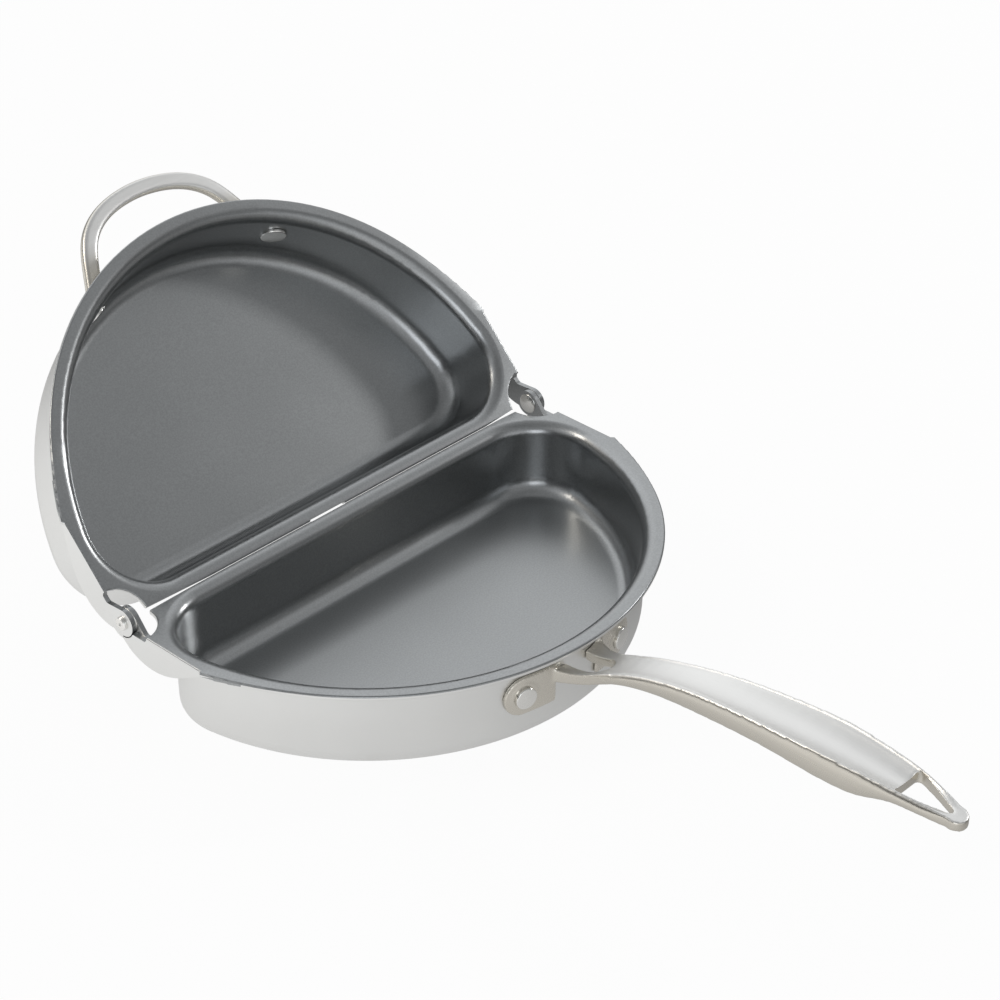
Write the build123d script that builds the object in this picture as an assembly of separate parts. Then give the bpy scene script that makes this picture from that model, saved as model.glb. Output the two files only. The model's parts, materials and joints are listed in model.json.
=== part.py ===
from build123d import *
from math import acos, atan2, cos, radians, sin, sqrt, tan
import os

# A hinged two-sided pan: two matching D-shaped half pans that close rim to rim, a long handle
# on the front half and a loop handle on the back half. Sizes are in millimetres and degrees.
#
# Part frame: the origin lies on the table under the centre of the front pan's round wall.
# +X runs along the hinge, +Y from the front pan to the back pan, +Z up. The long handle
# points to -Y. At rest the front pan stands level and the back pan leans on its open stop.
#
# Pan frame, used to model each half: X along the hinge, Y straight out from the hinge axis,
# Z up out of the pan, with Z = 0 on the rim. The hinge axis lies just above the rim.

# ---- Driving dimensions -------------------------------------------------------------------

# Half pan
opening_angle = 134.0       # between the two rims when open
pan_height = 39.6           # rim to outside of the base
base_thickness = 7.3
wall_thickness = 1.6        # at the rim
closing_gap = 0.2           # between the two rims when closed
lip_thickness = 2.2
rim_edge_rounding = 0.7
rim_overhang = 7.2          # rim beyond the outside of the round wall
rim_round_angle = 55.0      # how far the rim follows the round wall, either side of the middle
wall_radius = 109.8         # outside of the round wall, just under the rim
wall_centre = 17.2          # centre of the round wall from the hinge axis
wall_setback = 4.9          # outside of the straight wall from the hinge axis
wall_corner = 26.8          # rounding between the round wall and the straight wall
wall_draft = 1.0            # outside of the wall
inner_draft = 3.0
rim_bend = 5.5              # rounding from the rim into the pan
under_rim_fillet = 3.0
floor_fillet = 8.0
base_rounding = 8.0

# Straight rim edge along the hinge
hinge_edge = -0.1           # rim edge from the hinge axis, just past it
end_relief_depth = 0.9      # wedge-shaped gap at both ends of the straight edge
long_relief_length = 34.0   # at the left end, seen along the open pan from the long handle
short_relief_length = 17.0  # at the right end
middle_relief_depth = 0.6   # short sight gap near the middle
middle_relief_length = 19.0
middle_relief_offset = 7.5  # to the left of the middle, on both pans

# Hinge ears
ear_gap = 3.2               # from the outside of the wall to the inside of the ear
ear_thickness = 2.0
ear_ledge = 1.1             # how far the round rim ends beyond the ear
ear_ledge_length = 1.2
ear_start = 13.4            # where the rim's side edge starts, from the hinge axis
ear_end = 44.5              # where the ear runs into the round rim
ear_depth = 13.8            # deepest part of the ear below the hinge axis
# Lower edge of the ear: shares of its length from the hinge axis and of its depth
ear_lower_edge = [(0.79, 0.56), (0.58, 0.88), (0.37, 1.0), (0.16, 0.87)]
notch_width = 10.7          # notch in the rim beside the ear
notch_bulge = 2.4           # how far the notch's curved side bows out
notch_depth = 2.6           # top edge of the ear below the hinge axis, along the notch
notch_ramp = 1.0
lug_radius = 5.7
neck_reach = 9.7            # where the slope down from the lug meets the notch
neck_blend = 0.9            # rounding there, along either side
lug_clearance = 0.5         # around the lug, between the two ears
lug_root = 1.6              # how far the front pan's inner lug runs in under its rim
heel_height = 1.3           # stop heel beyond the lug, under the pin
stop_clearance_angle = 1.0

# Hinge pins and washers
pin_radius = 2.0
pin_head_radius = 4.3
pin_head_height = 1.0
pin_head_chamfer = 0.25
pin_peen_radius = 2.75
pin_peen_height = 1.3
pin_peen_rounding = 0.6
pin_dimple_radius = 0.8
washer_thickness = 0.4
washer_radius = 5.4
running_clearance = 0.05

# Rivets through the walls
rivet_radius = 2.5
rivet_inner_head_radius = 5.75
rivet_inner_head_height = 1.2
rivet_outer_head_radius = 4.6
rivet_outer_head_height = 1.9
rivet_head_rounding = 0.7

# Long handle
foot_thickness = 1.8
foot_edge = 0.8             # bevel around the outer face of every foot
boss_radius = 6.0           # raised seat around every rivet's outer head
boss_height = 0.4
long_rivet_angle = 13.9     # rivets either side of the middle, about the round wall's centre
long_rivet_depth = 16.9     # rivet centres below the rim
long_foot_radius = 8.6
long_foot_length = 15.5     # from the rivet back to the foot's square end
fork_depth = 17.5           # opening between the two arms, from the wall
fork_half_width = 5.4
# Stations along the handle: distance, half width, and the heights of the top edge and of the
# underside above the rivets. The shank's distances run from the wall, the grip's back from the tip
shank_stations = [
    (-1.0, 15.0, 7.6, 1.1),
    (13.0, 9.9, 8.7, 3.7),
    (23.5, 9.2, 13.7, 8.7),
    (43.0, 9.0, 21.2, 14.5),
    (69.5, 10.3, 27.1, 18.4),
]
grip_stations = [
    (80.8, 11.6, 30.1, 20.6),
    (54.8, 12.0, 31.4, 20.3),
    (37.8, 10.8, 31.0, 21.1),
    (26.8, 9.6, 30.4, 24.1),
    (16.8, 7.8, 29.2, 23.7),
    (5.8, 4.6, 27.1, 22.6),
]
handle_reach = 176.8        # from the wall to the handle's round tip
handle_hollow = 42.0        # radius of the hollow top
handle_hollow_reach = 20.0  # half width of the tool that hollows the top
hole_length = 22.7          # hang hole, a rounded triangle, before its corners are rounded
hole_half_width = 8.4
hole_inset = 3.1            # from the hole's sharp point to the handle's tip
hole_corner = 1.6

# Loop handle
loop_rivet_angle = 26.8
loop_rivet_depth = 14.1
loop_leg_angle = 24.1       # where each leg leaves the wall, about the round wall's centre
loop_foot_radius = 8.2
loop_foot_length = 14.0
loop_bar_width = 6.8
loop_bar_height = 4.6
loop_edge = 1.6
# Points on the bar's middle line from the crown down: half width and distance from the wall
loop_crown = 25.9
loop_bends = [(10.0, 25.1), (20.4, 22.4), (28.0, 18.3), (32.8, 13.8), (36.2, 8.6), (39.2, 2.5)]

# ---- Derived sizes ------------------------------------------------------------------------

large = 4 * wall_radius
touching = 0.2              # edges this close to an outline lie on it
run_on = 4.0                # cutting curves run on this far past what they cut
spare_top = 1.0             # height above the grip's edges that the hollow takes off
lean_angle = 180.0 - opening_angle
straight_down = 270.0
hinge_height = closing_gap / 2
inner_depth = pan_height - base_thickness
wall_front = wall_centre + wall_radius
rim_radius = wall_radius + rim_overhang
ear_inner_face = wall_radius + ear_gap
ear_face = ear_inner_face + ear_thickness
notch_half_width = ear_inner_face - notch_width
heel_radius = lug_radius + heel_height
washer_outer_face = ear_inner_face - running_clearance
inner_lug_face = washer_outer_face - washer_thickness
inner_lug_back = inner_lug_face - ear_thickness
pin_peen_seat = ear_face + running_clearance
handle_tip = wall_front + handle_reach

front_place = Pos(0, wall_centre, pan_height) * Rot(0, 0, 180)
back_place = (
    Pos(0, wall_centre, pan_height + hinge_height)
    * Rot(lean_angle, 0, 0)
    * Pos(0, 0, -hinge_height)
)


# ---- Plan outlines in the pan frame --------------------------------------------------------

def polar(radius, angle, centre=0.0):
    """Point in plan at an angle from the pan's middle line."""
    return (radius * sin(radians(angle)), centre + radius * cos(radians(angle)))


def wall_plan(inset):
    """Plan of the pan's wall, inset from its outer face: a disc cut straight along the hinge."""
    disc = Pos(0, wall_centre) * Circle(wall_radius - inset)
    beyond_hinge = Pos(0, wall_setback + inset) * Rectangle(
        large, large, align=(Align.CENTER, Align.MIN)
    )
    plan = disc & beyond_hinge
    return fillet(plan.vertices(), wall_corner - inset)


def wall_block(inset, depth, draft=wall_draft):
    """Drafted block inside the wall, from the rim down to a depth."""
    return extrude(wall_plan(inset), amount=-depth, taper=draft)


def rim_plan():
    """Plan of the flat rim, with its side edges at the ears and the notches beside them."""
    join = polar(rim_radius, rim_round_angle, wall_centre)
    heading = polar(1.0, rim_round_angle + 90)
    edges = [ThreePointArc((-join[0], join[1]), (0, wall_centre + rim_radius), join)]
    for side in (1, -1):
        corners = [
            (side * (ear_face + ear_ledge), ear_end),
            (side * ear_face, ear_end - ear_ledge_length),
            (side * ear_face, ear_start),
            (side * ear_inner_face, ear_start),
        ]
        start = (side * join[0], join[1])
        edges.append(TangentArc(start, corners[0], tangent=(side * heading[0], heading[1])))
        edges.extend(Line(a, b) for a, b in zip(corners, corners[1:]))
        bow = (side * (notch_half_width + notch_bulge), (ear_start + notch_bulge) / 2)
        edges.append(
            ThreePointArc(corners[-1], bow, (side * notch_half_width, hinge_edge))
        )
    edges.append(Line((-notch_half_width, hinge_edge), (notch_half_width, hinge_edge)))
    return make_face(edges)


def rim_reliefs(middle_offset):
    """Shallow cuts that open the gap along the straight edges at both ends and near the middle."""
    cuts = Pos(middle_offset, hinge_edge, 0) * Box(
        middle_relief_length, 2 * middle_relief_depth, large
    )
    for side in (1, -1):
        length = long_relief_length if side * middle_offset > 0 else short_relief_length
        past_notch = notch_half_width + run_on
        start = notch_half_width - length
        depth_there = end_relief_depth * (length + run_on) / length
        wedge = Polyline(
            (side * start, hinge_edge),
            (side * past_notch, hinge_edge + depth_there),
            (side * past_notch, -lip_thickness),
            (side * start, -lip_thickness),
            close=True,
        )
        cuts += extrude(make_face(wedge), amount=large, both=True)
    return cuts


# ---- Ears ----------------------------------------------------------------------------------

def side_plane(x):
    """Plane across the hinge at X, its origin on the hinge axis and its axes along Y and Z."""
    return Plane(origin=(x, 0, hinge_height), x_dir=(0, 1, 0), z_dir=(1, 0, 0))


def ear_outline():
    """Side view of an ear without its lug: straight top edge, notch step, curved lower edge."""
    lower_edge = Spline(
        (ear_end, -lip_thickness),
        *[(along * ear_end, -down * ear_depth) for along, down in ear_lower_edge],
        (0, -heel_radius),
    )
    corners = [
        (0, -heel_radius),
        (0, -notch_depth),
        (ear_start - notch_ramp, -notch_depth),
        (ear_start, notch_ramp - notch_depth),
        (ear_start, -lip_thickness / 2),
        (ear_end, -lip_thickness / 2),
        (ear_end, -lip_thickness),
    ]
    return make_face([lower_edge] + [Line(a, b) for a, b in zip(corners, corners[1:])])


def lug_outline():
    """Side view of a lug and the slope that runs down from it to the notch."""
    foot = Vector(neck_reach, -notch_depth)
    aim = atan2(foot.Y, foot.X) + acos(lug_radius / foot.length)
    touch = Vector(lug_radius * cos(aim), lug_radius * sin(aim))
    low = foot + Vector(neck_blend, 0)
    high = foot + (touch - foot).normalized() * neck_blend
    edges = [
        Line((0, -notch_depth), low),
        TangentArc(low, high, tangent=(-1, 0)),
        Polyline(high, touch, (0, 0), (0, -notch_depth)),
    ]
    return Circle(lug_radius) + make_face(edges)


def heel_outline():
    """Wedge under the back pan's lug that meets the front ear when the pan is fully open."""
    start = radians(straight_down - lean_angle + stop_clearance_angle)
    rest_side = (large * cos(start), large * sin(start))
    wedge = make_face(Polyline((0, 0), rest_side, (0, -large), (0, 0)))
    return wedge & Circle(heel_radius)


def slab(outline, low_x, high_x):
    """Outline in side view turned into a plate between two X positions."""
    return extrude(side_plane(low_x) * outline, amount=high_x - low_x)


def back_ear():
    """Right-hand ear of the back pan: outer lug with a running hole and the stop heel."""
    outline = ear_outline() + lug_outline() + heel_outline()
    outline -= Circle(pin_radius + running_clearance)
    return slab(outline, ear_inner_face, ear_face)


def front_ear():
    """Right-hand ear of the front pan: inner lug that holds the pin, recessed outer plate."""
    outer = ear_outline() - Circle(lug_radius + lug_clearance)
    near_hinge = Rectangle(ear_start + lug_root, large, align=(Align.MIN, Align.CENTER))
    inner = (ear_outline() & near_hinge) + lug_outline() - Circle(pin_radius)
    ear = slab(outer, ear_inner_face, ear_face)
    ear += slab(outer & near_hinge, inner_lug_face, ear_inner_face)
    ear += slab(inner, inner_lug_back, inner_lug_face)
    return ear


# ---- Rivets and what they hold ---------------------------------------------------------------

def radial_plane(angle, depth):
    """Plane on the round wall's axis, facing out through a rivet at the angle."""
    out = polar(1.0, angle)
    along = polar(1.0, angle + 90)
    return Plane(
        origin=(0, wall_centre, -depth),
        x_dir=(along[0], along[1], 0),
        z_dir=(out[0], out[1], 0),
    )


def rivet_blank(angle, depth):
    """Rivet along its own radius: flat head inside the wall, round head outside the foot."""
    inner_face = wall_radius - wall_thickness - depth * tan(radians(inner_draft))
    outer_face = wall_radius - depth * tan(radians(wall_draft)) + foot_thickness
    shank = extrude(Circle(rivet_radius), amount=outer_face - inner_face)
    inner_head = Cylinder(
        rivet_inner_head_radius,
        2 * rivet_inner_head_height,
        align=(Align.CENTER, Align.CENTER, Align.CENTER),
    )
    inner_head = fillet(inner_head.edges().group_by(Axis.Z)[0], rivet_head_rounding)
    outer_head = Pos(0, 0, outer_face - inner_face) * Cylinder(
        rivet_outer_head_radius,
        2 * rivet_outer_head_height,
        align=(Align.CENTER, Align.CENTER, Align.CENTER),
    )
    outer_head = fillet(outer_head.edges().group_by(Axis.Z)[-1], rivet_head_rounding)
    blank = Pos(0, 0, inner_face) * (shank + inner_head + outer_head)
    return radial_plane(angle, depth).location * blank


def rivet_hole(angle, depth):
    """Hole along a rivet's radius, through wall and foot."""
    hole = Pos(0, 0, wall_radius) * Cylinder(rivet_radius, 8 * foot_thickness)
    return radial_plane(angle, depth).location * hole


def wall_shell(thickness):
    """Layer of a thickness laid on the outside of the round wall."""
    return wall_block(-thickness, pan_height) - wall_block(0, pan_height)


def foot(angle, depth, radius, length):
    """Plate hugging the round wall: round end about its rivet, square end towards the middle."""
    inward = -1 if angle > 0 else 1
    square_end = Pos(inward * length / 2, 0) * Rectangle(length, 2 * radius)
    outline = Circle(radius) + square_end
    outward = radial_plane(angle, depth).location
    plate = (outward * extrude(outline, amount=large)) & wall_shell(foot_thickness)
    outer_face = plate.faces().sort_by(lambda face: (face.center() - plate.center()).Y)[-1]
    plate = chamfer(outer_face.edges(), foot_edge)
    boss = (outward * extrude(Circle(boss_radius), amount=large)) & wall_shell(
        foot_thickness + boss_height
    )
    return plate + boss


# ---- Half pans -------------------------------------------------------------------------------

def half_pan(ear, rivet_angle, rivet_depth, middle_offset):
    """One half pan in the pan frame, with an ear at each end and two rivet holes in its wall."""
    bowl = wall_block(0, pan_height)
    bowl = fillet(bowl.faces().sort_by(Axis.Z)[0].edges(), base_rounding)
    rim = extrude(rim_plan(), amount=-lip_thickness)
    rim = fillet(rim.faces().sort_by(Axis.Z)[-1].edges(), rim_edge_rounding)
    rim = fillet(rim.faces().sort_by(Axis.Z)[0].edges(), rim_edge_rounding)
    body = bowl + rim
    outline = Pos(0, 0, -lip_thickness) * Wire(wall_plan(0).edges())
    under_rim = [
        edge for edge in body.edges()
        if outline.distance_to(edge @ 0.5) < touching and outline.distance_to(edge @ 0) < touching
    ]
    body = fillet(under_rim, under_rim_fillet)
    cavity = wall_block(wall_thickness, inner_depth, inner_draft)
    cavity = fillet(cavity.faces().sort_by(Axis.Z)[0].edges(), floor_fillet)
    body -= cavity
    mouth = [edge for edge in body.faces().sort_by(Axis.Z)[-1].inner_wires().edges()]
    body = fillet(mouth, rim_bend)
    body -= rim_reliefs(middle_offset)
    body += ear + mirror(ear, Plane.YZ)
    for side in (1, -1):
        body -= rivet_hole(side * rivet_angle, rivet_depth)
    return body


# ---- Handles -----------------------------------------------------------------------------------

def closed_curve(low, high):
    """Face between two smooth curves that run side by side, closed by straight ends."""
    return make_face(
        [Spline(*low), Line(low[-1], high[-1]), Spline(*high), Line(low[0], high[0])]
    )


def grip_plan(sides):
    """Plan of the grip between its two sides, given as (half width, distance), round at the tip."""
    right = Spline(*sides)
    left = Spline(*[(-half, along) for half, along in sides])
    tip = ThreePointArc(left @ 1, (0, handle_tip), right @ 1)
    return make_face([right, tip, left, Line(left @ 0, right @ 0)])


def grip():
    """Grip in the pan frame: its side view met with its plan, the top hollowed."""
    places = [(wall_front + reach, *rest) for reach, *rest in shank_stations]
    places += [(handle_tip - back, *rest) for back, *rest in grip_stations]
    stations = [
        (along, half, top - long_rivet_depth, bottom - long_rivet_depth)
        for along, half, top, bottom in places
    ]
    share = (handle_tip + run_on - stations[-1][0]) / (stations[-1][0] - stations[-2][0])
    end = [last + share * (last - earlier) for earlier, last in zip(*stations[-2:])]
    underside = [(along, bottom) for along, half, top, bottom in [*stations, end]]
    top_side = [(along, top + spare_top) for along, half, top, bottom in [*stations, end]]
    middle = Plane(origin=(0, 0, 0), x_dir=(0, 1, 0), z_dir=(1, 0, 0))
    bar = extrude(middle * closed_curve(underside, top_side), amount=large, both=True)
    bar &= extrude(
        grip_plan([(half, along) for along, half, top, bottom in stations]),
        amount=large,
        both=True,
    )
    hollow = Spline(
        *[(0, along, top - half ** 2 / (2 * handle_hollow)) for along, half, top, bottom in stations],
        (0, end[0], end[2]),
    )
    start = Plane(origin=hollow @ 0, x_dir=(-1, 0, 0), z_dir=hollow % 0)
    rise = handle_hollow - sqrt(handle_hollow ** 2 - handle_hollow_reach ** 2)
    low_arc = ThreePointArc((-handle_hollow_reach, rise), (0, 0), (handle_hollow_reach, rise))
    tool = make_face([low_arc, Line(low_arc @ 1, low_arc @ 0)])
    return bar - sweep(start * tool, hollow)


def hang_hole():
    """Rounded triangle through the end of the long handle, its point towards the tip."""
    hole_end = handle_tip - hole_inset
    triangle = make_face(
        Polyline(
            (-hole_half_width, hole_end - hole_length),
            (hole_half_width, hole_end - hole_length),
            (0, hole_end),
            (-hole_half_width, hole_end - hole_length),
        )
    )
    return extrude(fillet(triangle.vertices(), hole_corner), amount=large, both=True)


def pan_space():
    """Space taken by the outside of the pan's wall."""
    return wall_block(0, pan_height)


def drill_feet(handle, angle, depth):
    """Rivet holes through both feet of a handle."""
    for side in (1, -1):
        handle -= rivet_hole(side * angle, depth)
    return handle


def long_handle_shape():
    """Long handle in the pan frame: two riveted feet, forked root, dished grip, hang hole."""
    bar = grip() - hang_hole()
    fork_end = wall_front + fork_depth - fork_half_width
    fork = Pos(0, fork_end) * Circle(fork_half_width)
    fork += Rectangle(2 * fork_half_width, fork_end, align=(Align.CENTER, Align.MIN))
    bar -= extrude(fork, amount=large, both=True)
    bar -= pan_space()
    for side in (1, -1):
        bar += foot(side * long_rivet_angle, long_rivet_depth, long_foot_radius, long_foot_length)
    return drill_feet(bar, long_rivet_angle, long_rivet_depth)


def loop_handle_shape():
    """Loop handle in the pan frame: a rounded bar bent in plan, on two riveted feet."""
    right = [(x, wall_front + along) for x, along in loop_bends]
    right.append(polar(wall_radius, loop_leg_angle, wall_centre))
    left = [(-x, y) for x, y in reversed(right)]
    path = Spline(*left, (0, wall_front + loop_crown), *right)
    section = Plane(origin=path @ 0, x_dir=(0, 0, 1), z_dir=path % 0)
    bar = sweep(section * RectangleRounded(loop_bar_height, loop_bar_width, loop_edge), path)
    bar = Pos(0, 0, -loop_rivet_depth) * bar
    bar -= pan_space()
    for side in (1, -1):
        bar += foot(side * loop_rivet_angle, loop_rivet_depth, loop_foot_radius, loop_foot_length)
    return drill_feet(bar, loop_rivet_angle, loop_rivet_depth)


# ---- Hinge pins and washers ---------------------------------------------------------------------

def disc(low_x, high_x, radius):
    """Round disc on the hinge axis between two X positions."""
    return slab(Circle(radius), low_x, high_x)


def hinge_pin_shape():
    """Right-hand hinge pin: flat head inside the ears, peened end with a dimple outside."""
    head = disc(inner_lug_back - pin_head_height, inner_lug_back, pin_head_radius)
    head = chamfer(head.edges().group_by(Axis.X)[0], pin_head_chamfer)
    shank = disc(inner_lug_back, pin_peen_seat, pin_radius)
    peen = disc(pin_peen_seat, pin_peen_seat + pin_peen_height, pin_peen_radius)
    peen = fillet(peen.edges().group_by(Axis.X)[-1], pin_peen_rounding)
    dimple = Pos(pin_peen_seat + pin_peen_height, 0, hinge_height) * Sphere(pin_dimple_radius)
    return head + shank + peen - dimple


def washer_shape():
    """Right-hand spacer washer between the front and back lugs."""
    ring = Circle(washer_radius) - Circle(pin_radius)
    return slab(ring, inner_lug_face, washer_outer_face)


# ---- Assembly -------------------------------------------------------------------------------------

def mirrored(shape):
    """The same shape on the other side of the pan's middle plane."""
    return mirror(shape, Plane.YZ)


# The front pan is turned half round, so its +X side is the pan's left.
front_pan = half_pan(front_ear(), long_rivet_angle, long_rivet_depth, middle_relief_offset)
back_pan = half_pan(back_ear(), loop_rivet_angle, loop_rivet_depth, -middle_relief_offset)
long_handle = long_handle_shape()
loop_handle = loop_handle_shape()
long_rivet = rivet_blank(long_rivet_angle, long_rivet_depth) - front_pan - long_handle
loop_rivet = rivet_blank(loop_rivet_angle, loop_rivet_depth) - back_pan - loop_handle
hinge_pin = hinge_pin_shape()
washer = washer_shape()

nodes = {
    "front_pan": front_place * front_pan,
    "long_handle": front_place * long_handle,
    "long_handle_rivet_left": front_place * long_rivet,
    "long_handle_rivet_right": front_place * mirrored(long_rivet),
    "hinge_pin_left": front_place * hinge_pin,
    "hinge_pin_right": front_place * mirrored(hinge_pin),
    "hinge_washer_left": front_place * washer,
    "hinge_washer_right": front_place * mirrored(washer),
    "back_pan": back_place * back_pan,
    "loop_handle": back_place * loop_handle,
    "loop_handle_rivet_left": back_place * mirrored(loop_rivet),
    "loop_handle_rivet_right": back_place * loop_rivet,
}

os.makedirs("parts", exist_ok=True)
for name, shape in nodes.items():
    export_step(shape, f"parts/{name}.step")
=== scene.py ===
"""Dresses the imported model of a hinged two-sided pan and sets up a plain studio around it.

Lengths are in metres in Blender and in millimetres in the classes' fields. MM turns one into
the other. The pan frame is the one in which both half pans are alike: X along the hinge, Y
straight out from the hinge axis, Z up out of the pan, with Z = 0 on the rim. Scales of a
finish's noise count cells per metre.
"""

from __future__ import annotations

import json
import logging
import math
from dataclasses import dataclass
from enum import Enum

import bmesh
import bpy
from mathutils import Matrix, Vector

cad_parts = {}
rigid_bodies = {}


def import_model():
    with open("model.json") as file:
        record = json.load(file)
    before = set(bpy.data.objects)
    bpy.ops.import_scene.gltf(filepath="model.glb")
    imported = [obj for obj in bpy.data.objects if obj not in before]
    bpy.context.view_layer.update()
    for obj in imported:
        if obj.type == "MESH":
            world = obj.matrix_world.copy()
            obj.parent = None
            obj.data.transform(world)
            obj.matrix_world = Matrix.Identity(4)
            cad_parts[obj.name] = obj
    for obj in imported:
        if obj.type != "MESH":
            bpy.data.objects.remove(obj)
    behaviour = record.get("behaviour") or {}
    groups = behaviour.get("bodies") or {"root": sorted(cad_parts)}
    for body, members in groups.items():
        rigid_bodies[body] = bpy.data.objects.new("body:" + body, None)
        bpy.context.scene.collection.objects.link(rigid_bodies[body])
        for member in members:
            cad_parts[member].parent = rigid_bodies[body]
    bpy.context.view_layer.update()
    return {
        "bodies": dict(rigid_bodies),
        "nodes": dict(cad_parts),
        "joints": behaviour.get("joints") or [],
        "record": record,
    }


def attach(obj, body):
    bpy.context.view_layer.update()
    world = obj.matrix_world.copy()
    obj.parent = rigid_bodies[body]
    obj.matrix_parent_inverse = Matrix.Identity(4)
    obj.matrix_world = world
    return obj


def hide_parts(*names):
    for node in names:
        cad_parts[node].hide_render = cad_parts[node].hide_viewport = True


MM = 0.001
MERGE_DISTANCE = 0.002 * MM  # vertices closer than this are one
# topside marks a handle's top; places off it take a painted shade on the sides
TOPSIDE = "topside"  # vertex attribute: how far a place belongs to a handle's top
LOG = logging.getLogger("flip_pan")

Colour = tuple[float, float, float]  # linear red, green and blue
Xyz = tuple[float, float, float]
Span = tuple[float, float]  # two ends
Outline = tuple[tuple[float, float], ...]  # radius and height of each point


class Slot(Enum):
    """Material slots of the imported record."""

    COATED_ALUMINIUM = "coated_aluminium"
    SATIN_STEEL = "satin_steel"
    RIVET_STEEL = "rivet_steel"


class Surface(Enum):
    """The finishes that one half pan carries, in the order of its material slots."""

    BARE = 0
    COATED = 1


# ---- Finishes ----------------------------------------------------------------------------


@dataclass
class NodeBench:
    """Small helper that adds and links nodes in one tree."""

    tree: bpy.types.NodeTree

    def add(self, kind: str, links: dict | None = None, **values) -> bpy.types.Node:
        """Add a node, set its properties and link its inputs.

        Args:
            kind: Blender's name of the node type.
            links: Input name or number to an output socket or a plain value.
            **values: Properties set on the node itself.

        Returns:
            The new node.
        """
        node = self.tree.nodes.new(kind)
        for key, value in values.items():
            setattr(node, key, value)
        for key, source in (links or {}).items():
            if isinstance(source, bpy.types.NodeSocket):
                self.tree.links.new(source, node.inputs[key])
            else:
                node.inputs[key].default_value = source
        return node

    def maths(self, operation: str, *values) -> bpy.types.NodeSocket:
        """Add a Math node.

        Args:
            operation: Blender's name of the operation.
            *values: Its operands, sockets or numbers.

        Returns:
            The result.
        """
        return self.add("ShaderNodeMath", dict(enumerate(values)), operation=operation).outputs[0]

    def ramp(self, value: bpy.types.NodeSocket, target: Span, source: Span = (0.0, 1.0),
             kind: str = "LINEAR") -> bpy.types.NodeSocket:
        """Map a value from one span to another, held at both ends.

        Args:
            value: The value to map.
            target: Results at the two ends of the source span.
            source: Values that give them.
            kind: Blender's name of the interpolation.

        Returns:
            The mapped value.
        """
        links = {"Value": value, "From Min": source[0], "From Max": source[1]}
        links |= {"To Min": target[0], "To Max": target[1]}
        return self.add("ShaderNodeMapRange", links, interpolation_type=kind).outputs["Result"]


@dataclass
class MaterialBench(NodeBench):
    """Node helper for one material."""

    material: bpy.types.Material

    @classmethod
    def named(cls, name: str) -> MaterialBench:
        """Start a node material with an empty tree.

        Args:
            name: Name of the new material.

        Returns:
            The bench that works on it.
        """
        material = bpy.data.materials.new(name)
        material.use_nodes = True
        material.node_tree.nodes.clear()
        return cls(material.node_tree, material)

    def coordinates(self, turn: float = 0.0, stretch: Xyz = (1.0, 1.0, 1.0)) -> bpy.types.NodeSocket:
        """Object coordinates, turned about X and stretched.

        Args:
            turn: Angle about X in degrees.
            stretch: Scale along X, Y and Z.

        Returns:
            The vector output.
        """
        where = self.add("ShaderNodeTexCoord").outputs["Object"]
        links = {"Vector": where, "Rotation": (math.radians(turn), 0, 0), "Scale": stretch}
        return self.add("ShaderNodeMapping", links).outputs["Vector"]

    def noise(self, where: bpy.types.NodeSocket, scale: float, detail: float) -> bpy.types.NodeSocket:
        """Noise value at a scale per metre.

        Args:
            where: Vector to sample at.
            scale: Noise cells per metre.
            detail: Number of finer layers.

        Returns:
            The factor output.
        """
        node = self.add("ShaderNodeTexNoise", {"Vector": where, "Scale": scale, "Detail": detail})
        return node.outputs["Fac"]

    def blend(self, share: bpy.types.NodeSocket, first: Colour, second: Colour) -> bpy.types.NodeSocket:
        """Mix two colours by a share.

        Args:
            share: 0 gives the first colour, 1 the second.
            first: Linear colour.
            second: Linear colour.

        Returns:
            The mixed colour.
        """
        links = {0: share, 6: (*first, 1), 7: (*second, 1)}
        return self.add("ShaderNodeMix", links, data_type="RGBA").outputs[2]

    def bump(self, height: bpy.types.NodeSocket, depth: float, strength: float) -> bpy.types.NodeSocket:
        """Normal bumped by a height.

        Args:
            height: Height value.
            depth: Bump distance in millimetres.
            strength: Strength of the bump.

        Returns:
            The normal output.
        """
        links = {"Height": height, "Distance": depth * MM, "Strength": strength}
        return self.add("ShaderNodeBump", links).outputs["Normal"]

    def finish(self, colour: bpy.types.NodeSocket, roughness: bpy.types.NodeSocket,
               normal: bpy.types.NodeSocket) -> bpy.types.Material:
        """Close the tree with a metallic Principled shader.

        Args:
            colour: Base colour.
            roughness: Roughness.
            normal: Bumped normal.

        Returns:
            The finished material.
        """
        links = {"Base Color": colour, "Roughness": roughness, "Metallic": 1.0, "Normal": normal}
        shader = self.add("ShaderNodeBsdfPrincipled", links)
        self.add("ShaderNodeOutputMaterial", {"Surface": shader.outputs["BSDF"]})
        return self.material


@dataclass(frozen=True)
class ReleaseCoating:
    """Dark grey metallic release coating with a fine speckle over soft clouds of gloss."""

    name: str = "release_coating"
    dark: Colour = (0.332, 0.34, 0.343)
    light: Colour = (0.383, 0.393, 0.397)
    speckle_scale: float = 1500.0
    speckle_detail: float = 1.0
    speckle_range: Span = (0.35, 0.68)
    cloud_scale: float = 22.0
    cloud_detail: float = 3.0
    roughness: Span = (0.26, 0.33)
    bump_depth: float = 0.01
    bump_strength: float = 0.15

    def material(self) -> bpy.types.Material:
        """Build the node material."""
        bench = MaterialBench.named(self.name)
        where = bench.coordinates()
        speckle = bench.noise(where, self.speckle_scale, self.speckle_detail)
        clouds = bench.noise(where, self.cloud_scale, self.cloud_detail)
        share = bench.ramp(speckle, (0.0, 1.0), self.speckle_range)
        return bench.finish(
            bench.blend(share, self.dark, self.light),
            bench.ramp(clouds, self.roughness),
            bench.bump(speckle, self.bump_depth, self.bump_strength),
        )


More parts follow.
